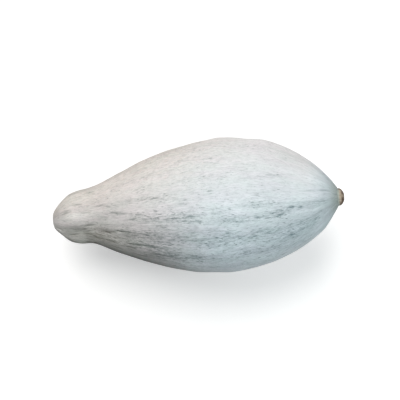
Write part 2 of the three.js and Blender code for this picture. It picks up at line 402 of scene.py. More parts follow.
def relief(along, radius, angle):
    """How far the skin stands out from the plain outline, as on the solid."""
    neck = 1 - smoothstep(along, *NECK_END)
    stem = smoothstep(along, *STEM_END)
    mean_depth = GROOVE_WIDTH * math.sqrt(math.pi) / 360
    height = spots(along, angle, SWELLS)
    for middle, on_neck, on_belly, by_stem in GROOVES:
        depth = on_neck * neck + on_belly * (1 - neck - stem) + by_stem * stem
        height += depth * (mean_depth - bell(turn(middle, angle), GROOVE_WIDTH))
    return height * smoothstep(radius, 0, CALM_RADIUS)


def rippled(along, angle, length, width, seed):
    """Smooth noise from -1 to 1, with its length along the fruit and its width round it."""
    around = np.radians(angle)
    places = np.column_stack([
        BELLY_RADIUS / width * np.sin(around), BELLY_RADIUS / width * np.cos(around), along / length + seed])
    return np.array([noise.noise(place) for place in places])


def crease_depths(along, radius, angle):
    """Depth of the creases at each vertex."""
    sway = rippled(along, angle, *SWAY)
    along, angle = along + SWAY_ALONG * sway, angle + SWAY_ROUND * sway
    depth = np.zeros_like(along)
    for start, start_angle, end, end_angle, deepest in CREASES:
        run = np.array((end - start, math.radians(end_angle - start_angle) * NECK_RADIUS))
        x = along - start
        y = np.radians(turn(start_angle, angle)) * radius
        share = np.clip((x * run[0] + y * run[1]) / (run @ run), 0, 1)
        gap = np.hypot(x - share * run[0], y - share * run[1])
        taper = CREASE_TAPER + (1 - CREASE_TAPER) * np.sin(math.pi * share)
        depth = np.maximum(depth, deepest * taper * bell(gap, CREASE_WIDTH))
    return depth


def dent_depths(along, radius, angle, count, deepest, seed):
    """Depth of shallow lengthwise dents, scattered over the skin."""
    draw = np.random.default_rng(seed)
    depth = np.zeros_like(along)
    for _ in range(count):
        middle, place = draw.uniform(*DENT_PLACE), draw.uniform(-180, 180)
        half_length, half_width = draw.uniform(*DENT_HALF_LENGTH), draw.uniform(*DENT_HALF_WIDTH)
        across = np.radians(turn(place, angle)) * radius
        share = draw.uniform(*DENT_SHARE)
        depth += deepest * share * bell(along - middle, half_length) * bell(across, half_width)
    return np.minimum(depth, deepest)


def wave_heights(along, angle):
    """Height of the fine wrinkles, which are higher on the neck, and of the broad lumps."""
    neck = 1 - smoothstep(along, *NECK_END)
    wrinkle = (WRINKLE_HEIGHT + NECK_WRINKLE_HEIGHT * neck) * rippled(along, angle, *WRINKLE)
    return wrinkle + LUMP_HEIGHT * rippled(along, angle, *LUMP)


def dash_density(along, angle):
    """Share of the skin's dashes that show at each vertex."""
    density = np.full_like(along, DENSITY_BETWEEN_ROWS)
    for start, start_angle, end, end_angle, half_width, strength in DASH_ROWS:
        middle = np.interp(along, (start, end), (start_angle, end_angle))
        begun = smoothstep(along, start - ROW_FADE, start + ROW_FADE)
        ended = smoothstep(along, end - ROW_FADE, end + ROW_FADE)
        density += strength * begun * (1 - ended) * bell(turn(middle, angle), half_width)
    return np.clip(density, 0, 1)


def mark_strength(along, radius, angle):
    """How much the rind shows in the single marks at each vertex."""
    strength = np.zeros_like(along)
    for middle, place, half_length, half_width, shown in MARKS:
        across = np.radians(turn(place, angle)) * radius
        strength = np.maximum(strength, shown * bell(along - middle, half_length) * bell(across, half_width))
    return strength


def warm_with_painted_key_share(along, angle):
    """Share of the warm tone: on the neck, and on along the back of the shoulder. It is partly the skin's
    own tint and partly painted warm key light on the upper back side.
    """
    neck = on_side(angle, WARM_NECK_SIDE) * (1 - smoothstep(along, *WARM_NECK_STRETCH))
    back = on_side(angle, WARM_BACK_SIDE) * (1 - smoothstep(along, *WARM_BACK_STRETCH))
    return joined(neck, back)


def cool_with_painted_fill_share(along, angle):
    """Share of the cool tone: on the front of the belly and round the stem, partly the skin's own blue-green
    and partly painted blue fill light.
    """
    front = on_side(angle, COOL_FRONT_SIDE) * smoothstep(along, *COOL_FRONT_STRETCH)
    return joined(front, COOL_STEM * smoothstep(along, *COOL_STEM_STRETCH))


def painted_shade_and_darkening_share(along, angle):
    """Painted shade under the front of the neck, and darker skin on the front towards the stem and round the
    stem.
    """
    neck = between_spans(angle, PAINTED_SHADE_NECK_SPAN, PAINTED_SHADE_NECK_END_SPAN) * near_place(along, PAINTED_SHADE_NECK_PLACE)
    front = DARKER_FRONT * on_side(angle, DARKER_FRONT_SIDE) * smoothstep(along, *DARKER_FRONT_STRETCH)
    return joined(neck, front, DARKER_STEM * smoothstep(along, *DARKER_STEM_STRETCH))


def olive_with_painted_shade_share(along, angle):
    """Olive tint under the front of the neck: partly the skin's own, partly painted shade."""
    return between_spans(angle, OLIVE_SPAN, OLIVE_END_SPAN) * near_place(along, OLIVE_PLACE)


def scar_share(along, radius):
    """The round scar at the blossom end."""
    return (1 - smoothstep(radius, *SCAR_RADII)) * (along < NECK_END[0])


def fruit_rows(share):
    """Distance along the axis and radius of the plain outline, at a share of the way from pole to pole."""
    line = np.vstack([curve_through(OUTLINE), (FRUIT_LENGTH, 0)])
    middle_radius = (line[1:, 1] + line[:-1, 1]) / 2
    walked = walked_share(line, 1 / (FINENESS + middle_radius / BELLY_RADIUS))
    return np.interp(share, walked, line[:, 0]), np.maximum(np.interp(share, walked, line[:, 1]), 0)


class RindSettings(bpy.types.PropertyGroup):
    bloom_color: FloatVectorProperty(
        name="Bloom", description="Colour of the chalky wax bloom", subtype="COLOR",
        default=(0.92, 0.91, 0.92), min=0, max=1)
    # Also painted warm key light on the upper back side.
    warm_with_painted_key_color: FloatVectorProperty(
        name="Warm bloom", description="Colour of the bloom on the leathery neck and the shoulder",
        subtype="COLOR", default=(0.84, 0.80, 0.76), min=0, max=1)
    # Also painted blue fill light on the front and round the stem.
    cool_with_painted_fill_color: FloatVectorProperty(
        name="Cool bloom", description="Colour of the bloom on the front and round the stem",
        subtype="COLOR", default=(0.79, 0.895, 0.95), min=0, max=1)
    blush_color: FloatVectorProperty(
        name="Blush", description="Colour of the faint reddish freckles on the warm skin", subtype="COLOR",
        default=(0.78, 0.64, 0.56), min=0, max=1)
    # Tint of the painted shade under the front of the neck, and of the darker skin towards the stem.
    painted_shade_and_darkening_color: FloatVectorProperty(
        name="Worn bloom", description="Tint where the bloom is rubbed off", subtype="COLOR",
        default=(0.41, 0.44, 0.42), min=0, max=1)
    rind_color: FloatVectorProperty(
        name="Rind", description="Tint of the marks where the rind shows through", subtype="COLOR",
        default=(0.27, 0.31, 0.30), min=0, max=1)
    slate_color: FloatVectorProperty(
        name="Marks on the belly", description="Tint of the bare rind on the front of the belly",
        subtype="COLOR", default=(0.24, 0.31, 0.32), min=0, max=1)
    bark_color: FloatVectorProperty(
        name="Marks under the neck", description="Tint of the bare rind under the front of the neck",
        subtype="COLOR", default=(0.25, 0.24, 0.19), min=0, max=1)
    # Partly the skin's own olive, partly painted shade under the neck.
    olive_with_painted_shade_color: FloatVectorProperty(
        name="Olive", description="Tint of the skin under the front of the neck", subtype="COLOR",
        default=(0.90, 0.925, 0.86), min=0, max=1)
    seat_color: FloatVectorProperty(
        name="Seat", description="Colour of the skin round the stem", subtype="COLOR",
        default=(0.58, 0.64, 0.60), min=0, max=1)
    scar_color: FloatVectorProperty(
        name="Blossom scar", description="Colour of the dry scar of the blossom", subtype="COLOR",
        default=(0.32, 0.24, 0.16), min=0, max=1)
    dent_count: IntProperty(
        name="Dents", description="Number of shallow lengthwise dents", default=320, min=0, soft_max=600)
    dent_depth: FloatProperty(
        name="Dent depth", description="Depth of the deepest dents", unit="LENGTH",
        default=0.00045, min=0, max=0.001)
    seed: IntProperty(name="Seed", description="Draws other dents", default=7, min=0)


class SQUASH_OT_fruit(bpy.types.Operator):
    """Builds the fruit's rind in place of the fruit's solid"""

    bl_idname = "squash.fruit"
    bl_label = "Build fruit"

    def execute(self, context):
        settings = context.scene.squash_rind
        mesh = ball_mesh("fruit_rind", FRUIT_SEGMENTS, FRUIT_ROWS)
        share, angle = round_the_axis(mesh)
        along, radius = fruit_rows(share)

        crease = crease_depths(along, radius, angle)
        deepest = settings.dent_depth / MM
        dent = dent_depths(along, radius, angle, settings.dent_count, deepest, settings.seed)
        fine = wave_heights(along, angle) - crease - dent - SKIN_MARGIN
        calm = smoothstep(radius, BARE_RADIUS, CALM_RADIUS)
        reach = radius + relief(along, radius, angle) + fine * calm
        x, y, z = round_tilted_axis(along, reach, angle)
        y += eased_at(BEND, along)
        low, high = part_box("fruit")
        x += low.x / MM + TIP_INSET - x.min()
        y += (low.y + high.y) / 2 / MM - (y.min() + y.max()) / 2
        z = np.maximum(z + high.z / MM - SKIN_MARGIN - z.max(), 0)
        move_vertices(mesh, x, y, z)

        add_skin_place(mesh, along, angle, BELLY_RADIUS)
        add_attribute(mesh, "girth", radius / BELLY_RADIUS)
        add_attribute(mesh, "crease", np.clip(crease, 0, 1))
        add_attribute(mesh, "dash_density", dash_density(along, angle))
        add_attribute(mesh, "mark", mark_strength(along, radius, angle))
        add_attribute(mesh, "warm_with_painted_key", warm_with_painted_key_share(along, angle))
        add_attribute(mesh, "cool_with_painted_fill", cool_with_painted_fill_share(along, angle))
        add_attribute(mesh, "painted_shade_and_darkening", painted_shade_and_darkening_share(along, angle))
        add_attribute(mesh, "olive_with_painted_shade", olive_with_painted_shade_share(along, angle))
        add_attribute(mesh, "painted_light_shade_and_stains", spots(along, angle, PAINTED_LIGHT_SHADE_AND_STAIN_PATCHES))
        add_attribute(mesh, "seat", SEAT_TONE * smoothstep(along, *SEAT_STRETCH))
        add_attribute(mesh, "scar", scar_share(along, radius))
        add_piece("fruit_rind", mesh, "fruit", rind_material(settings))
        return {"FINISHED"}


# ---- The stem ----

STEM_RADIUS = 11.4
STEM_LENGTH = 7.8

# Half outline of the stem: (share of its length, share of its radius).
STEM_OUTLINE = (
    (0, 0), (0, 1), (0.12, 1), (0.29, 0.98), (0.48, 0.91), (0.65, 0.8), (0.79, 0.66), (0.9, 0.52),
    (0.98, 0.38), (1, 0.3), (0.96, 0.22), (0.9, 0.14), (0.88, 0),
)
CRACKS = (4, 31, 52, 84, 110, 139, 163, 188, 221, 247, 271, 303, 336)  # angles
CRACK_WIDTH = 4.2
CRACK_DEPTH = 0.55
CRACK_START = 1.5
CRACK_REACH = (0.45, 0.85)  # on the cut end, the cracks begin between these shares of the radius
SEAT_SINK = 0.5  # the finished stem starts this far inside the rind
STEM_SEGMENTS = 240
STEM_ROWS = 120

# Dark skin of the stem: a stretch is a slope along the stem, and a span a slope in angle.
RIM_STRETCH = (3.6, 5.6)
RIM_RADII = (2.5, 6)
RIM_IN_MIDDLE = 0.35
PALE_NICK_SIDE = (2, 15)
PALE_NICK = 0.75
PALE_STRIP_ANGLE = 15
UPPER_DARK_SPAN = (-76, -46)  # from the middle of the pale strip
UPPER_DARK_STRETCH = (0.2, 1.6)
LOWER_DARK_SPAN = (26, 54)
LOWER_DARK_STRETCH = (1.4, 3.2)
FOOT_STRETCH = (0.6, 3.2)


def stem_rows(share):
    """Distance along the stem and radius, at a share of the way from its base to its cut end's middle."""
    line = np.array(STEM_OUTLINE) * (STEM_LENGTH, STEM_RADIUS)
    walked = walked_share(line)
    return np.interp(share, walked, line[:, 0]), np.interp(share, walked, line[:, 1])


def crack_shares(along, radius, angle):
    """How deep each vertex lies in a crack, from 0 to about 1."""
    inner, outer = CRACK_REACH
    crack = sum(bell(turn(middle, angle), CRACK_WIDTH) for middle in CRACKS)
    crack = crack * smoothstep(along, 0, CRACK_START)
    return crack * smoothstep(radius, inner * STEM_RADIUS, outer * STEM_RADIUS)


def dark_end_share(along, radius, angle):
    """Share of the dark tone: on the rim and the cut end, and down the upper and the lower side."""
    rim = RIM_IN_MIDDLE + (1 - RIM_IN_MIDDLE) * smoothstep(radius, *RIM_RADII)
    rim = smoothstep(along, *RIM_STRETCH) * rim * (1 - PALE_NICK * on_side(angle, PALE_NICK_SIDE))
    from_strip = turn(PALE_STRIP_ANGLE, angle)
    upper = (1 - smoothstep(from_strip, *UPPER_DARK_SPAN)) * smoothstep(along, *UPPER_DARK_STRETCH)
    lower = smoothstep(from_strip, *LOWER_DARK_SPAN) * smoothstep(along, *LOWER_DARK_STRETCH)
    return np.maximum(rim, np.maximum(upper, lower))


class StemSettings(bpy.types.PropertyGroup):
    cork_color: FloatVectorProperty(
        name="Cork", description="Colour of the dry side of the stem", subtype="COLOR",
        default=(0.53, 0.43, 0.33), min=0, max=1)
    cut_color: FloatVectorProperty(
        name="Cut end", description="Colour of the dark rim and the cut end", subtype="COLOR",
        default=(0.12, 0.075, 0.05), min=0, max=1)
    green_color: FloatVectorProperty(
        name="Foot", description="Colour of the foot of the stem, where the skin runs on", subtype="COLOR",
        default=(0.43, 0.48, 0.44), min=0, max=1)
    # Also the painted shade inside the cracks.
    fibre_and_crack_shade_color: FloatVectorProperty(
        name="Cracks", description="Colour inside the cracks", subtype="COLOR",
        default=(0.17, 0.12, 0.08), min=0, max=1)


class SQUASH_OT_stem(bpy.types.Operator):
    """Builds the cut, corky stem in place of the stem's solid"""

    bl_idname = "squash.stem"
    bl_label = "Build stem"

    def execute(self, context):
        mesh = ball_mesh("cork_stem", STEM_SEGMENTS, STEM_ROWS)
        share, angle = round_the_axis(mesh)
        along, radius = stem_rows(share)

        crack = crack_shares(along, radius, angle)
        sunk = along - SEAT_SINK * (1 - smoothstep(along, 0, CRACK_START))
        x, y, z = round_tilted_axis(sunk, radius - CRACK_DEPTH * crack, angle)
        low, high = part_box("stem")
        x += high.x / MM - x.max()
        y += (low.y + high.y) / 2 / MM
        z += (low.z + high.z) / 2 / MM - (z.min() + z.max()) / 2
        move_vertices(mesh, x, y, z)

        add_skin_place(mesh, along, angle, STEM_RADIUS)
        add_attribute(mesh, "crack", np.clip(crack, 0, 1))
        add_attribute(mesh, "cut_end", dark_end_share(along, radius, angle))
        add_attribute(mesh, "green", 1 - smoothstep(along, *FOOT_STRETCH))
        add_piece("cork_stem", mesh, "stem", cork_material(context.scene.squash_stem))
        return {"FINISHED"}


# ---- Material helpers ----

# The Mix node has several sockets of one name, so its colours go by number.
MIX_FIRST_COLOR = 6
MIX_SECOND_COLOR = 7
MIX_COLOR = 2


def add_node(tree, kind, sockets=(), **settings):
    """Adds a node, with its settings and the values of its input sockets, named or numbered."""
    node = tree.nodes.new(kind)
    for name, value in settings.items():
        setattr(node, name, value)
    for socket, value in dict(sockets).items():
        if isinstance(value, bpy.types.NodeSocket):
            tree.links.new(value, node.inputs[socket])
        else:
            node.inputs[socket].default_value = value
    return node


def set_inputs(node, values):
    for name, value in values.items():
        node.inputs[name].default_value = value


def maths(tree, operation, first, second=0.0, clamp=False):
    node = add_node(tree, "ShaderNodeMath", {0: first, 1: second}, operation=operation, use_clamp=clamp)
    return node.outputs[0]


def vector_maths(tree, operation, *values):
    sockets = dict(enumerate(values))
    return add_node(tree, "ShaderNodeVectorMath", sockets, operation=operation).outputs[0]


def scaled(tree, vector, scale):
    node = add_node(tree, "ShaderNodeVectorMath", {0: vector, "Scale": scale}, operation="SCALE")
    return node.outputs[0]


def weighted(tree, terms):
    """Sum of values, each times its weight."""
    products = [maths(tree, "MULTIPLY", value, weight) for value, weight in terms]
    total = products[0]
    for product in products[1:]:
        total = maths(tree, "ADD", total, product)
    return total


def mixed(tree, factor, first, second, blend="MIX"):
    """Colour between first and second."""
    sockets = {"Factor": factor, MIX_FIRST_COLOR: first, MIX_SECOND_COLOR: second}
    node = add_node(tree, "ShaderNodeMix", sockets, data_type="RGBA", blend_type=blend)
    return node.outputs[MIX_COLOR]


def ranged(tree, value, low, high, to_low=0.0, to_high=1.0):
    """The value, eased from one range to another."""
    sockets = {"Value": value, "From Min": low, "From Max": high, "To Min": to_low, "To Max": to_high}
    node = add_node(tree, "ShaderNodeMapRange", sockets, interpolation_type="SMOOTHSTEP")
    return node.outputs[0]


def stored(tree, name, output="Fac"):
    """A number or a vector that the mesh stores for each vertex."""
    node = add_node(tree, "ShaderNodeAttribute", attribute_name=name, attribute_type="GEOMETRY")
    return node.outputs[output]


def solid_color(color):
    return (*color, 1.0)


def add_bump(tree, shader, height, strength, distance):
    bump = add_node(tree, "ShaderNodeBump", {"Height": height, "Strength": strength, "Distance": distance})
    tree.links.new(bump.outputs[0], shader.inputs["Normal"])


def new_material(name):
    """A material with one Principled shader, its node tree and that shader's node."""
    material = bpy.data.materials.new(name)
    material.use_nodes = True
    tree = material.node_tree
    return material, tree, tree.nodes["Principled BSDF"]


# ---- Node groups that the materials share: each turns a place on the skin into one mask ----

# Sockets of a mask of separate marks, and of a mask that is cut from soft noise.
LONG_MARK = (
    ("Place", "NodeSocketVector", None), ("Width", "NodeSocketFloat", 2.0),
    ("Length", "NodeSocketFloat", 12.0), ("Seed", "NodeSocketFloat", 0.0),
)
ROUND_MARK = (
    ("Place", "NodeSocketVector", None), ("Size", "NodeSocketFloat", 20.0), ("Seed", "NodeSocketFloat", 0.0),
)
SHARE_SHOWN = (("Density", "NodeSocketFloat", 0.5),)
NOISE_CUT = (("Start", "NodeSocketFloat", 0.35), ("End", "NodeSocketFloat", 0.65))

DASH_SEED_STEP = (17.3, 5.1, 9.7)
DASH_WAVE_SCALE = 1.3
DASH_BEND = (0.6, 0.6, 0.6)
DASH_FADE = 0.08
DASH_SIZE = 0.32
DASH_SIZE_SPREAD = 0.2
DASH_CORE = 0.4  # share of a dash's radius that is fully dark
DASH_STRENGTH = 0.4
DASH_STRENGTH_SPREAD = 0.6
STREAK_ROUGHNESS = 0.55
MOTTLE_ROUGHNESS = 0.6


def new_group(name, inputs):
    """An empty shader node group with one mask for its output, and its input and output sockets."""
    tree = bpy.data.node_groups.new(name, "ShaderNodeTree")
    for socket, kind, default in inputs:
        made = tree.interface.new_socket(name=socket, in_out="INPUT", socket_type=kind)
        if default is not None:
            made.default_value = default
    tree.interface.new_socket(name="Mask", in_out="OUTPUT", socket_type="NodeSocketFloat")
    return tree, tree.nodes.new("NodeGroupInput").outputs, tree.nodes.new("NodeGroupOutput").inputs


def stretched_place(tree, given):
    """The place, in widths across and in lengths along."""
    size = add_node(tree, "ShaderNodeCombineXYZ", {0: given["Width"], 1: given["Width"], 2: given["Length"]})
    return vector_maths(tree, "DIVIDE", given["Place"], size.outputs[0])


def noise_mask(tree, given, place, roughness):
    """Soft noise, cut between the group's start and its end."""
    sockets = {"Vector": place, "W": given["Seed"], "Scale": 1.0, "Detail": 3.0, "Roughness": roughness}
    waves = add_node(tree, "ShaderNodeTexNoise", sockets, noise_dimensions="4D")
    return ranged(tree, waves.outputs["Fac"], given["Start"], given["End"])


def dashes_group():
    """Separate marks, longer in the place's third direction. Density is the share of them that shows."""
    name = "Dashes"
    if name in bpy.data.node_groups:
        return bpy.data.node_groups[name]
    tree, given, result = new_group(name, LONG_MARK + SHARE_SHOWN)
    place = stretched_place(tree, given)
    moved = vector_maths(tree, "MULTIPLY_ADD", given["Seed"], DASH_SEED_STEP, place)
    wave = add_node(tree, "ShaderNodeTexNoise", {"Vector": moved, "Scale": DASH_WAVE_SCALE, "Detail": 2.0})
    bent = vector_maths(tree, "MULTIPLY_ADD", wave.outputs["Color"], DASH_BEND, moved)
    cells = add_node(tree, "ShaderNodeTexVoronoi", {"Vector": bent, "Scale": 1.0}, feature="F1")
    draw = add_node(tree, "ShaderNodeSeparateColor", {0: cells.outputs["Color"]})
    shown = ranged(tree, maths(tree, "SUBTRACT", given["Density"], draw.outputs[0]), 0.0, DASH_FADE)
    edge = maths(tree, "ADD", DASH_SIZE, maths(tree, "MULTIPLY", draw.outputs[1], DASH_SIZE_SPREAD))
    core = maths(tree, "MULTIPLY", edge, DASH_CORE)
    blob = ranged(tree, cells.outputs["Distance"], edge, core)
    spread = maths(tree, "MULTIPLY", draw.outputs[2], DASH_STRENGTH_SPREAD)
    strength = maths(tree, "ADD", DASH_STRENGTH, spread)
    tree.links.new(maths(tree, "MULTIPLY", maths(tree, "MULTIPLY", blob, shown), strength), result["Mask"])
    return tree


def streaks_group():
    """Soft streaks that are long in the place's third direction."""
    name = "Streaks"
    if name in bpy.data.node_groups:
        return bpy.data.node_groups[name]
    tree, given, result = new_group(name, LONG_MARK + NOISE_CUT)
    streaks = noise_mask(tree, given, stretched_place(tree, given), STREAK_ROUGHNESS)
    tree.links.new(streaks, result["Mask"])
    return tree


def mottle_group():
    """Cloudy patches of one size in every direction."""
    name = "Mottle"
    if name in bpy.data.node_groups:
        return bpy.data.node_groups[name]
    tree, given, result = new_group(name, ROUND_MARK + NOISE_CUT)
    place = scaled(tree, given["Place"], maths(tree, "DIVIDE", 1.0, given["Size"]))
    tree.links.new(noise_mask(tree, given, place, MOTTLE_ROUGHNESS), result["Mask"])
    return tree


def mask(tree, group, place, **sockets):
    """A mask from one of the shared groups."""
    return add_node(tree, "ShaderNodeGroup", {"Place": place, **sockets}, node_tree=group).outputs["Mask"]


# ---- The rind's material ----

# The lines of dashes wander from side to side, but not lengthwise.
WANDER_SCALE = 0.02
WANDER_REACH = (6.0, 6.0, 0.0)
BELLY_GIRTH = (0.5, 0.8)  # shares of the belly's radius between which the marks change from narrow to wide
NARROW = (0.5, 0.5, 1.0)

# Marks on the rind. Widths, lengths and sizes are in millimetres. Start and End cut the noise.
STRONG = {"Width": 1.7, "Length": 6.6, "Seed": 1.0}
FINE = {"Width": 1.2, "Length": 4.2, "Seed": 2.0}
SPECK = {"Width": 1.3, "Length": 2.0, "Seed": 9.0, "Density": 0.16}
THREAD = {"Width": 1.1, "Length": 9.0, "Seed": 13.0, "Start": 0.46, "End": 0.7}
SMUDGE = {"Width": 2.8, "Length": 22.0, "Seed": 3.0, "Start": 0.44, "End": 0.66}
LEATHER = {"Width": 1.2, "Length": 6.0, "Seed": 6.0, "Start": 0.42, "End": 0.66}
CLOUD = {"Width": 9.0, "Length": 34.0, "Seed": 4.0, "Start": 0.4, "End": 0.65}
TINGE = {"Width": 14.0, "Length": 42.0, "Seed": 14.0, "Start": 0.38, "End": 0.62}
BLOTCH = {"Size": 6.0, "Seed": 8.0, "Start": 0.48, "End": 0.68}
GRAIN = {"Size": 1.5, "Seed": 5.0, "Start": 0.4, "End": 0.78}
FLUSH = {"Size": 4.5, "Seed": 12.0, "Start": 0.5, "End": 0.68}
MORE_FINE = 0.16  # the fine dashes are this much denser than the strong ones

# How strongly each kind of mark bares the rind: (everywhere, more in the rows of dashes, more on warm skin).
BARED_BY = {
    "strong": (0.65, 0.35, 0.0), "fine": (0.38, 0.35, 0.0), "speck": (0.2, 0.5, 0.15),
    "thread": (0.12, 0.35, 0.05), "smudge": (0.06, 0.45, 0.0), "leather": (0.13, 0.6, 0.1),
    "cloud": (0.04, 0.25, 0.0), "blotch": (0.02, 0.1, 0.1), "grain": (0.05, 0.25, 0.08),
}
# The creases are darkened at this share as painted shade; the single marks bare the rind as much.
CREASE_SHADE_AND_MARKS = 0.7
ROUGH_SEAT = {"grain": 0.3, "blotch": 0.3}
RIND_HEIGHTS = {"strong": -0.7, "fine": -0.35, "leather": -0.25, "grain": 0.12}
RIND_BUMP = 0.0005
GREEN_TINGE = (0.98, 0.985, 0.97)
LILAC_TINGE = (1.015, 0.985, 0.99)
BLUSH_SHARE = 0.32
BLOOM_ROUGHNESS = 0.72
BARE_ROUGHNESS = 0.55
RIND_SPECULAR = 0.3


def rind_marks(tree, density):
    """A mask for each kind of mark on the rind, by name."""
    dashes, streaks, mottle = dashes_group(), streaks_group(), mottle_group()
    place = stored(tree, "skin_place", "Vector")
    drift = add_node(tree, "ShaderNodeTexNoise", {"Vector": place, "Scale": WANDER_SCALE, "Detail": 1.0})
    centred = vector_maths(tree, "SUBTRACT", drift.outputs["Color"], (0.5, 0.5, 0.5))
    wandering = vector_maths(tree, "MULTIPLY_ADD", centred, WANDER_REACH, place)
    narrow = vector_maths(tree, "MULTIPLY", wandering, NARROW)
    on_belly = ranged(tree, stored(tree, "girth"), *BELLY_GIRTH)
    on_ends = maths(tree, "SUBTRACT", 1.0, on_belly)

    def of_one_width(group, **sockets):
        """Marks of one width all over: the same pattern, opened out where the fruit is thin."""
        wide = mask(tree, group, wandering, **sockets)
        thin = mask(tree, group, narrow, **sockets)
        return weighted(tree, ((wide, on_belly), (thin, on_ends)))

    return {
        "strong": of_one_width(dashes, Density=density, **STRONG),
        "fine": of_one_width(dashes, Density=maths(tree, "ADD", density, MORE_FINE), **FINE),
        "speck": of_one_width(dashes, **SPECK),
        "thread": of_one_width(streaks, **THREAD),
        "smudge": of_one_width(streaks, **SMUDGE),
        "leather": of_one_width(streaks, **LEATHER),
        "cloud": of_one_width(streaks, **CLOUD),
        "tinge": of_one_width(streaks, **TINGE),
        "blotch": mask(tree, mottle, place, **BLOTCH),
        "grain": mask(tree, mottle, place, **GRAIN),
        "flush": mask(tree, mottle, place, **FLUSH),
    }


def bare_share(tree, marks, density, warm_with_painted_key, seat):
    """How far the rind shows through the bloom, with painted shade in the creases."""
    terms = [(maths(tree, "ADD", stored(tree, "crease"), stored(tree, "mark")), CREASE_SHADE_AND_MARKS)]
    for name, (everywhere, in_rows, when_warm) in BARED_BY.items():
        share = maths(tree, "ADD", everywhere, maths(tree, "MULTIPLY", density, in_rows))
        share = maths(tree, "ADD", share, maths(tree, "MULTIPLY", warm_with_painted_key, when_warm))
        terms.append((marks[name], share))
    terms.append((weighted(tree, [(marks[name], weight) for name, weight in ROUGH_SEAT.items()]), seat))
    return maths(tree, "MINIMUM", weighted(tree, terms), 1.0)


def toned_bloom(tree, marks, warm_with_painted_key, cool_with_painted_fill, seat, olive_with_painted_shade, settings):
    """Colour of the waxy bloom in its tones, with painted light and shade in some of them."""
    bloom = mixed(tree, warm_with_painted_key, solid_color(settings.bloom_color), solid_color(settings.warm_with_painted_key_color))
    bloom = mixed(tree, cool_with_painted_fill, bloom, solid_color(settings.cool_with_painted_fill_color))
    tint = mixed(tree, marks["tinge"], solid_color(LILAC_TINGE), solid_color(GREEN_TINGE))
    bloom = mixed(tree, 1.0, bloom, tint, blend="MULTIPLY")
    bloom = mixed(tree, seat, bloom, solid_color(settings.seat_color))
    blush = maths(tree, "MULTIPLY", maths(tree, "MULTIPLY", marks["flush"], warm_with_painted_key), BLUSH_SHARE)
    bloom = mixed(tree, blush, bloom, solid_color(settings.blush_color))
    # Painted shade under the front of the neck; darker skin towards the stem.
    bloom = mixed(tree, stored(tree, "painted_shade_and_darkening"), bloom, solid_color(settings.painted_shade_and_darkening_color), blend="MULTIPLY")
    # Olive tint and painted shade under the front of the neck.
    bloom = mixed(tree, olive_with_painted_shade, bloom, solid_color(settings.olive_with_painted_shade_color), blend="MULTIPLY")
    # The patches: painted shade along the edges of the neck, painted highlights on its tip, lobes and the
    # shoulder, and stains.
    return scaled(tree, bloom, maths(tree, "SUBTRACT", 1.0, stored(tree, "painted_light_shade_and_stains")))


def rind_material(settings):
    """Chalky bloom over a grey-green rind that shows through in lengthwise dashes, with painted light and
    shade in its tones, patches and creases.
    """
    material, tree, shader = new_material("waxy_rind")
    density, warm_with_painted_key, cool_with_painted_fill = stored(tree, "dash_density"), stored(tree, "warm_with_painted_key"), stored(tree, "cool_with_painted_fill")
    seat, olive_with_painted_shade = stored(tree, "seat"), stored(tree, "olive_with_painted_shade")
    marks = rind_marks(tree, density)
    bare = bare_share(tree, marks, density, warm_with_painted_key, seat)

    bloom = toned_bloom(tree, marks, warm_with_painted_key, cool_with_painted_fill, seat, olive_with_painted_shade, settings)
    rind = mixed(tree, cool_with_painted_fill, solid_color(settings.rind_color), solid_color(settings.slate_color))
    # Under the neck the marks take the bark tint, within the olive tint and painted shade.
    rind = mixed(tree, olive_with_painted_shade, rind, solid_color(settings.bark_color))
    color = mixed(tree, bare, bloom, rind, blend="MULTIPLY")
    color = mixed(tree, stored(tree, "scar"), color, solid_color(settings.scar_color))
    tree.links.new(color, shader.inputs["Base Color"])

    height = weighted(tree, [(marks[name], weight) for name, weight in RIND_HEIGHTS.items()])
    add_bump(tree, shader, height, 1.0, RIND_BUMP)
    roughness = ranged(tree, bare, 0.0, 1.0, BLOOM_ROUGHNESS, BARE_ROUGHNESS)
    tree.links.new(roughness, shader.inputs["Roughness"])
    set_inputs(shader, {"Specular IOR Level": RIND_SPECULAR})
    return material


# ---- The stem's material ----

FIBRES = {"Width": 0.5, "Length": 4.0, "Seed": 1.0, "Start": 0.35, "End": 0.65}
CORK_BLOTCH = {"Size": 3.0, "Seed": 2.0, "Start": 0.3, "End": 0.7}
FOOT_BLOTCH = 0.25
# How dark the fibres show, and the painted shade in the cracks.
CRACKED_BY = {"fibres": 0.3, "cracks": 0.4}
CUT_STRENGTH = (0.75, 1.0)
CORK_BUMP = 0.0003
CORK_BUMP_STRENGTH = 0.8
CORK_ROUGHNESS = 0.85
CORK_SPECULAR = 0.25


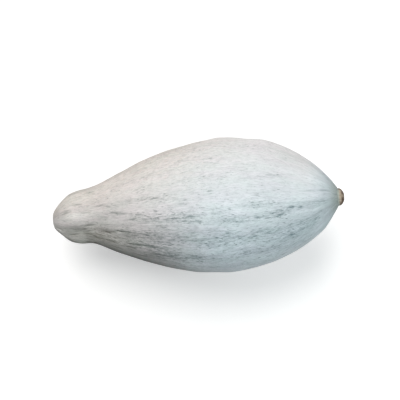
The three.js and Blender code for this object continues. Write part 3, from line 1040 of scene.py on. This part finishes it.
def cork_material(settings):
    """Dry, cracked cork with a dark cut end, and painted shade in its cracks."""
    material, tree, shader = new_material("dry_cork")
    place = stored(tree, "skin_place", "Vector")
    fibres = mask(tree, streaks_group(), place, **FIBRES)
    blotch = mask(tree, mottle_group(), place, **CORK_BLOTCH)
    blotched = maths(tree, "MULTIPLY", blotch, FOOT_BLOTCH)
    foot = maths(tree, "ADD", stored(tree, "green"), blotched, clamp=True)
    color = mixed(tree, foot, solid_color(settings.cork_color), solid_color(settings.green_color))
    along_fibres = maths(tree, "MULTIPLY", fibres, CRACKED_BY["fibres"])
    # Painted shade inside the cracks.
    crack_shade = maths(tree, "MULTIPLY", stored(tree, "crack"), CRACKED_BY["cracks"])
    cracked = maths(tree, "MAXIMUM", along_fibres, crack_shade)
    color = mixed(tree, cracked, color, solid_color(settings.fibre_and_crack_shade_color))
    cut = maths(tree, "MULTIPLY", stored(tree, "cut_end"), ranged(tree, blotch, 0.0, 1.0, *CUT_STRENGTH))
    color = mixed(tree, cut, color, solid_color(settings.cut_color))
    tree.links.new(color, shader.inputs["Base Color"])
    add_bump(tree, shader, maths(tree, "SUBTRACT", blotch, fibres), CORK_BUMP_STRENGTH, CORK_BUMP)
    set_inputs(shader, {"Roughness": CORK_ROUGHNESS, "Specular IOR Level": CORK_SPECULAR})
    return material


# ---- The studio ----

FLOOR_SIZE = 8.0
PAPER_WHITE = 0.8  # the paper as the camera sees it
PAPER_BOUNCE = 0.5  # and as it lights the underside of the squash
PAPER_ROUGHNESS = 0.9
KEY_FROM = (math.radians(208), math.radians(55))  # azimuth, elevation
KEY_SPREAD = math.radians(60)
KEY_COLOR = (1.0, 0.985, 0.965)
FILL_FROM = (math.radians(46), math.radians(40))
FILL_AIM = Vector((0.06, 0, 0.08))
FILL_DISTANCE = 0.5
FILL_SIZE = 0.4
FILL_COLOR = (0.92, 0.985, 1.0)
SKY_COLOR = (0.96, 0.98, 1.0)
AIM_RIGHT = 0.0031  # the camera looks this far to the right of the squash's middle, and above it
AIM_UP = 0.0076


class StudioSettings(bpy.types.PropertyGroup):
    azimuth: FloatProperty(
        name="Azimuth", description="Turn of the camera round the squash", subtype="ANGLE",
        default=math.radians(-2.34))
    elevation: FloatProperty(
        name="Elevation", description="Height of the camera above the horizon", subtype="ANGLE",
        default=math.radians(77), max=math.radians(89))
    distance: FloatProperty(
        name="Distance", description="From the camera to the middle of the squash", unit="LENGTH",
        default=2.5, min=0.5)
    frame_width: FloatProperty(
        name="Frame width", description="Width that the picture shows at the squash", unit="LENGTH",
        default=0.5203, min=0.1)
    key_strength: FloatProperty(name="Key", description="Strength of the main light", default=2.72, min=0)
    fill_power: FloatProperty(
        name="Fill", description="Power of the round soft light beside the stem end", unit="POWER",
        default=1.1, min=0)
    sky_strength: FloatProperty(
        name="Sky", description="Strength of the light from all round", default=0.12, min=0)
    floor_glow: FloatProperty(name="Floor glow", description="Lifts the floor to white", default=0.38, min=0)


def point_along(thing, direction):
    """Turns a camera or a light to look in that direction."""
    thing.rotation_mode = "QUATERNION"
    thing.rotation_quaternion = direction.to_track_quat("-Z", "Y")


def towards(azimuth, elevation):
    """Direction from the squash to a place seen at that azimuth (0 in front, at -Y) and elevation."""
    flat = math.cos(elevation)
    return Vector((math.sin(azimuth) * flat, -math.cos(azimuth) * flat, math.sin(elevation)))


def add_light(name, kind, energy, color, from_there):
    """Adds a light that shines from that direction, and returns its data and its object."""
    light = bpy.data.lights.new(name, kind)
    light.energy = energy
    light.color = color
    lamp = bpy.data.objects.new(name, light)
    bpy.context.collection.objects.link(lamp)
    point_along(lamp, -from_there)
    return light, lamp


def add_floor(glow):
    """Adds the white paper, which glows a little to the camera."""
    plane = bmesh.new()
    bmesh.ops.create_grid(plane, x_segments=1, y_segments=1, size=FLOOR_SIZE / 2)
    mesh = bpy.data.meshes.new("floor")
    plane.to_mesh(mesh)
    plane.free()
    floor = bpy.data.objects.new("floor", mesh)
    bpy.context.collection.objects.link(floor)
    material, tree, shader = new_material("white_paper")
    white = solid_color((1, 1, 1))
    set_inputs(shader, {"Roughness": PAPER_ROUGHNESS, "Specular IOR Level": 0.0, "Emission Color": white})
    seen = tree.nodes.new("ShaderNodeLightPath").outputs["Is Camera Ray"]
    base = mixed(tree, seen, solid_color((PAPER_BOUNCE,) * 3), solid_color((PAPER_WHITE,) * 3))
    tree.links.new(base, shader.inputs["Base Color"])
    tree.links.new(maths(tree, "MULTIPLY", seen, glow), shader.inputs["Emission Strength"])
    mesh.materials.append(material)


def add_sky(strength):
    """Adds the even light from all round."""
    world = bpy.data.worlds.new("studio")
    world.use_nodes = True
    set_inputs(world.node_tree.nodes["Background"], {"Color": solid_color(SKY_COLOR), "Strength": strength})
    bpy.context.scene.world = world


def add_camera(settings):
    """Adds the camera, whose lens shows the frame width at its distance."""
    lens = bpy.data.cameras.new("camera")
    lens.lens = lens.sensor_width * settings.distance / settings.frame_width
    camera = bpy.data.objects.new("camera", lens)
    bpy.context.collection.objects.link(camera)
    bpy.context.scene.camera = camera
    back = towards(settings.azimuth, settings.elevation)
    point_along(camera, -back)
    right = Vector((math.cos(settings.azimuth), math.sin(settings.azimuth), 0))
    up = back.cross(right)
    low, high = CAD_BOX
    aim = (low + high) / 2 + right * AIM_RIGHT + up * AIM_UP
    camera.location = aim + back * settings.distance


class SQUASH_OT_studio(bpy.types.Operator):
    """Adds the white floor, the soft lights and the camera"""

    bl_idname = "squash.studio"
    bl_label = "Set up studio"

    def execute(self, context):
        settings = context.scene.squash_studio
        add_floor(settings.floor_glow)
        key, _ = add_light("key", "SUN", settings.key_strength, KEY_COLOR, towards(*KEY_FROM))
        key.angle = KEY_SPREAD
        fill, lamp = add_light("fill", "AREA", settings.fill_power, FILL_COLOR, towards(*FILL_FROM))
        fill.shape = "DISK"
        fill.size = FILL_SIZE
        lamp.location = FILL_AIM + towards(*FILL_FROM) * FILL_DISTANCE
        lamp.visible_camera = False
        add_sky(settings.sky_strength)
        add_camera(settings)
        context.scene.view_settings.view_transform = "Standard"
        return {"FINISHED"}


# ---- The add-on ----

class SQUASH_PT_panel(bpy.types.Panel):
    """Lists the steps that build the squash, with what a user would change"""

    bl_idname = "SQUASH_PT_panel"
    bl_label = "Grey kabocha squash"
    bl_space_type = "VIEW_3D"
    bl_region_type = "UI"
    bl_category = "Squash"

    def draw(self, context):
        for step, group in (("squash.fruit", "squash_rind"), ("squash.stem", "squash_stem"),
                            ("squash.studio", "squash_studio")):
            box = self.layout.box()
            box.operator(step)
            settings = getattr(context.scene, group)
            for name in settings.__annotations__:
                box.prop(settings, name)


CLASSES = (
    RindSettings, StemSettings, StudioSettings, SQUASH_OT_fruit, SQUASH_OT_stem, SQUASH_OT_studio,
    SQUASH_PT_panel,
)


def register():
    for item in CLASSES:
        bpy.utils.register_class(item)
    bpy.types.Scene.squash_rind = PointerProperty(type=RindSettings)
    bpy.types.Scene.squash_stem = PointerProperty(type=StemSettings)
    bpy.types.Scene.squash_studio = PointerProperty(type=StudioSettings)


def unregister():
    del bpy.types.Scene.squash_studio
    del bpy.types.Scene.squash_stem
    del bpy.types.Scene.squash_rind
    for item in reversed(CLASSES):
        bpy.utils.unregister_class(item)


def main():
    register()
    bpy.ops.squash.fruit()
    bpy.ops.squash.stem()
    bpy.ops.squash.studio()


if __name__ == "__main__":
    main()
